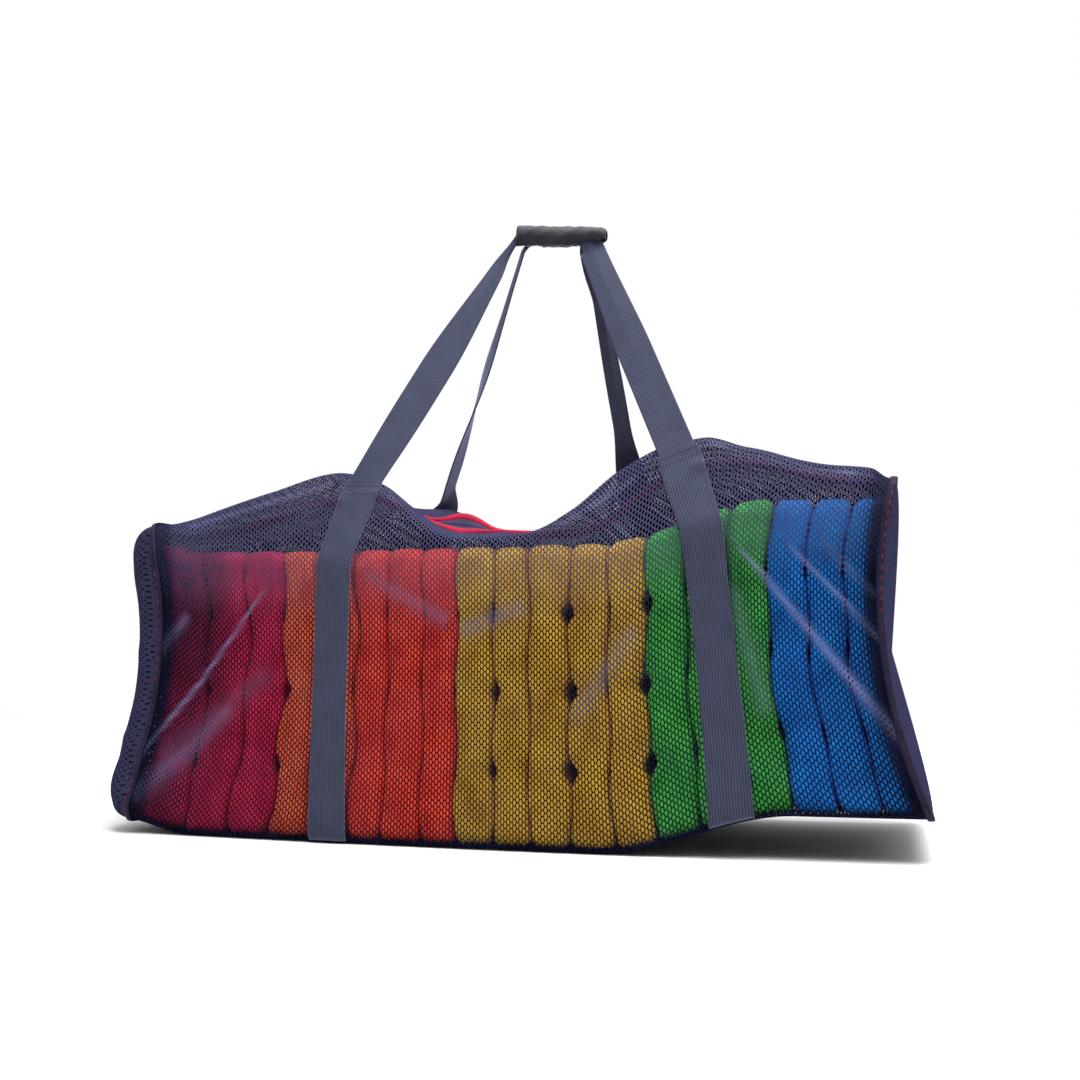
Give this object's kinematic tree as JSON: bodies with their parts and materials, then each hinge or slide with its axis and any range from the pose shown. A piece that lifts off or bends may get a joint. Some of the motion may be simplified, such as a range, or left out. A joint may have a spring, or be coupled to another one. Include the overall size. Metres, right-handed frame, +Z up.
{
  "type": "mesh duffle bag filled with square cushions",
  "caption": "Long navy mesh duffle bag, zipped shut over a row of square foam cushions in rainbow order, its webbing handles drawn up into one grip wrap.",
  "frame": {"origin": "centre of the bounding box's bottom face, on the surface the bag rests on", "axes": "+X along the bag to its right end as seen from the front, +Y to its back, +Z up"},
  "size_m": [1.1516, 0.4282, 0.893],
  "materials": {
    "net": "navy polyester mesh with a soft sheen",
    "binding": "dark binding tape with red stitching",
    "zip": "red zip tape",
    "webbing": "ribbed slate webbing",
    "grip": "charcoal padded cloth",
    "cushion_crimson": "smooth woven cover",
    "cushion_orange": "smooth woven cover",
    "cushion_scarlet": "smooth woven cover",
    "cushion_yellow": "smooth woven cover",
    "cushion_green": "smooth woven cover",
    "cushion_blue": "smooth woven cover"
  },
  "bodies": {
    "root": {"body_net": "net", "end_net_left": "net", "end_net_right": "net", "end_binding_left": "binding", "end_binding_right": "binding", "zip": "zip", "strap_front": "webbing", "strap_back": "webbing", "grip_wrap": "grip", "cushion_01": "cushion_crimson", "cushion_02": "cushion_crimson", "cushion_03": "cushion_crimson", "cushion_04": "cushion_orange", "cushion_05": "cushion_orange", "cushion_06": "cushion_scarlet", "cushion_07": "cushion_scarlet", "cushion_08": "cushion_scarlet", "cushion_09": "cushion_yellow", "cushion_10": "cushion_yellow", "cushion_11": "cushion_yellow", "cushion_12": "cushion_yellow", "cushion_13": "cushion_yellow", "cushion_14": "cushion_green", "cushion_15": "cushion_green", "cushion_16": "cushion_green", "cushion_17": "cushion_blue", "cushion_18": "cushion_blue", "cushion_19": "cushion_blue"}
  },
  "joints": []
}
